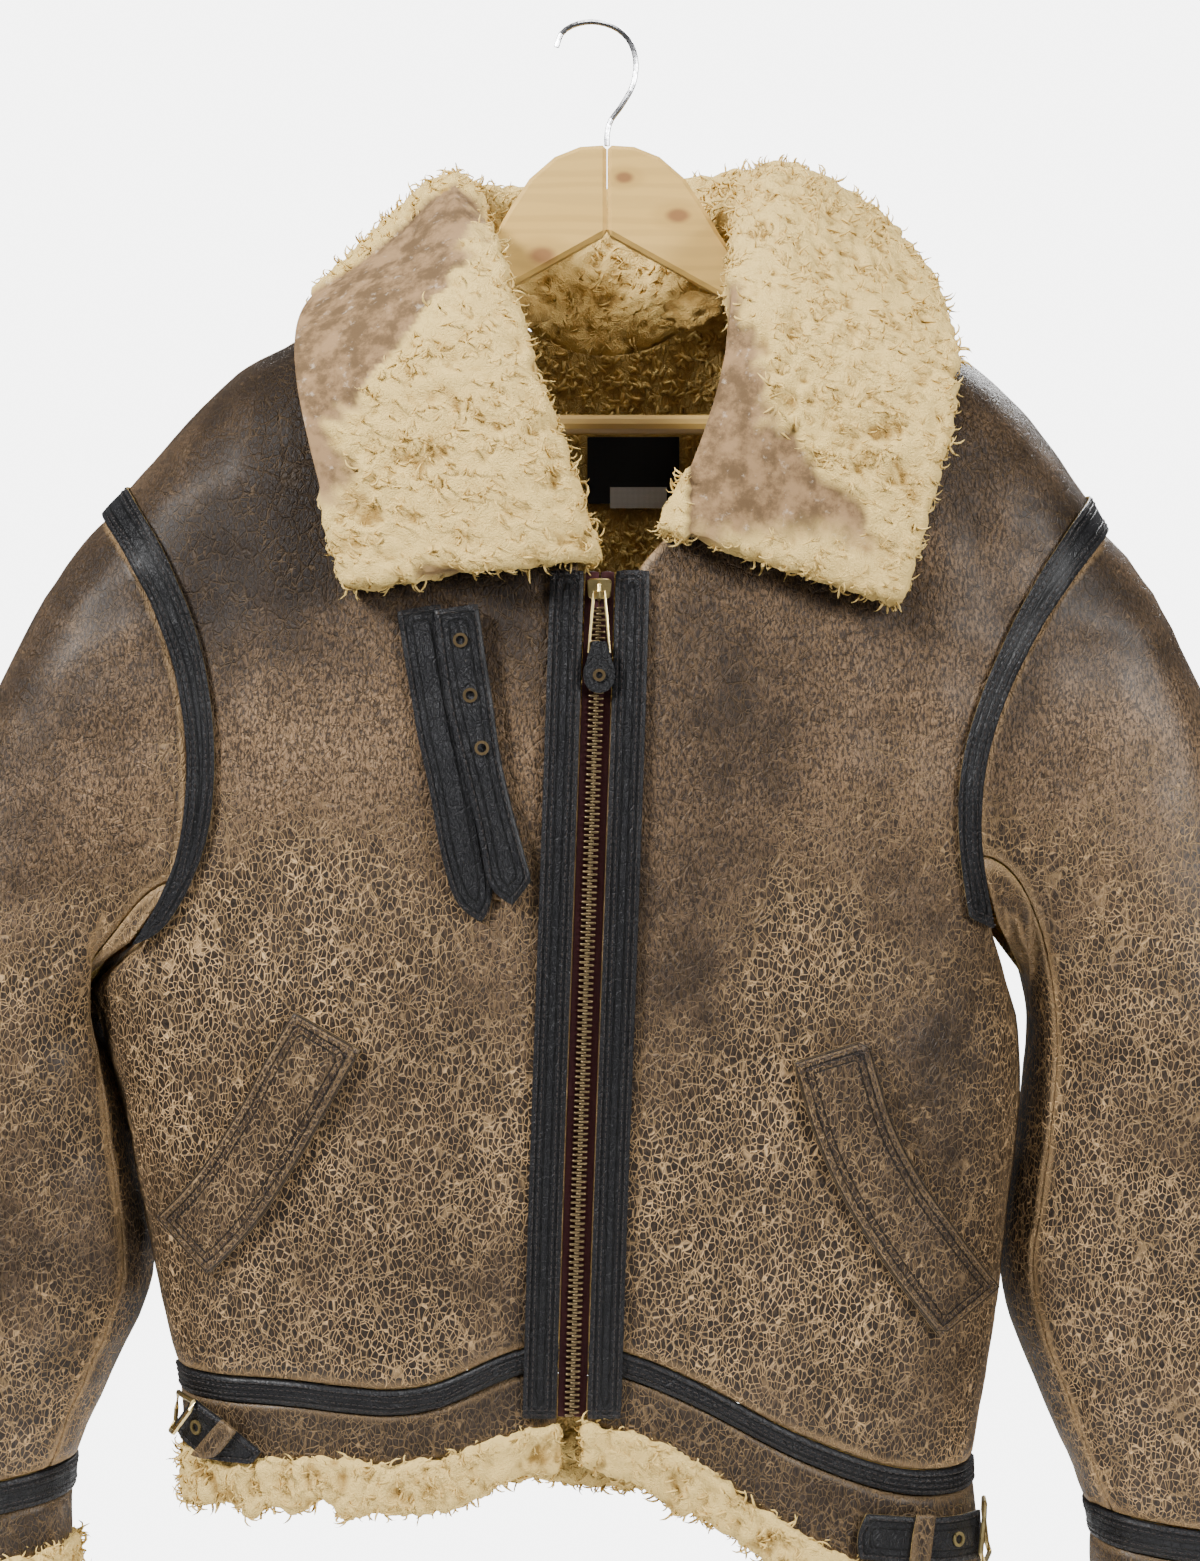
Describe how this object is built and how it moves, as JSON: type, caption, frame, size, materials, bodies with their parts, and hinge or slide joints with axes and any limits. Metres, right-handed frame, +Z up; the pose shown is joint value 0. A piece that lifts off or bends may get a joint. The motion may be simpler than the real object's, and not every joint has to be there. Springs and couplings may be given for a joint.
{
  "type": "sheepskin flying jacket on a wooden hanger",
  "caption": "Zipped brown leather flying jacket with cream fur collar, cuffs, hem and lining, hanging open-necked on a wooden hanger with a plated hook.",
  "frame": {"origin": "top of the space inside the hanger hook's arc, where the hook rests on a rail", "axes": "+X to the right as the jacket's front is seen, +Y from the front to the back, +Z up"},
  "size_m": [0.849, 0.2139, 0.9759],
  "materials": {
    "pale_wood": "satin varnished wood",
    "chrome_wire": "polished plated wire",
    "brown_hide": "crackled waxed leather with worn highlights",
    "dark_hide": "darker worn leather",
    "black_leather": "soft black leather",
    "cream_fur": "curly sheep's wool",
    "burgundy_tape": "woven tape",
    "aged_brass": "tarnished brass",
    "gold_brass": "yellow plated metal",
    "black_cloth": "woven cloth",
    "white_cloth": "woven cloth"
  },
  "bodies": {
    "jacket": {"hanger_arm_left": "pale_wood", "hanger_arm_right": "pale_wood", "hanger_bar": "pale_wood", "hanger_hook": "chrome_wire", "front_left": "brown_hide", "front_right": "brown_hide", "back": "brown_hide", "sleeve_left_upper": "brown_hide", "sleeve_left_under": "brown_hide", "sleeve_right_upper": "brown_hide", "sleeve_right_under": "brown_hide", "hem_band_left": "dark_hide", "hem_band_right": "dark_hide", "hem_band_back": "dark_hide", "cuff_left_panel": "dark_hide", "cuff_right_panel": "dark_hide", "pocket_welt_left": "dark_hide", "pocket_welt_right": "dark_hide", "side_keeper_left": "dark_hide", "side_keeper_right": "dark_hide", "waist_strip_left": "black_leather", "waist_strip_right": "black_leather", "waist_strip_back": "black_leather", "armhole_strip_left": "black_leather", "armhole_strip_right": "black_leather", "cuff_left_strip": "black_leather", "cuff_right_strip": "black_leather", "zip_strip_left": "black_leather", "zip_strip_right": "black_leather", "collar_strap_back": "black_leather", "collar_strap_front": "black_leather", "side_strap_left": "black_leather", "side_strap_right": "black_leather", "hem_fur_left": "cream_fur", "hem_fur_right": "cream_fur", "hem_fur_back": "cream_fur", "cuff_left_fur": "cream_fur", "cuff_right_fur": "cream_fur", "collar": "cream_fur", "zip_tape_left": "burgundy_tape", "zip_tape_right": "burgundy_tape", "zip_chain": "aged_brass", "collar_eyelet_1": "aged_brass", "collar_eyelet_2": "aged_brass", "collar_eyelet_3": "aged_brass", "slider": "gold_brass", "slider_bridge": "gold_brass", "side_eyelet_left": "gold_brass", "side_eyelet_right": "gold_brass", "side_buckle_left": "gold_brass", "side_buckle_right": "gold_brass", "neck_label": "black_cloth", "neck_tag": "white_cloth"},
    "pull": {"pull_frame": "gold_brass", "pull_tab": "black_leather", "pull_eyelet": "aged_brass"}
  },
  "joints": [
    {"name": "pull_hinge", "type": "hinge", "parent": "jacket", "child": "pull", "pos_m": [-0.00463, -0.10177, -0.341], "axis": [-1, 0, 0], "range_deg": [0, 110]}
  ]
}
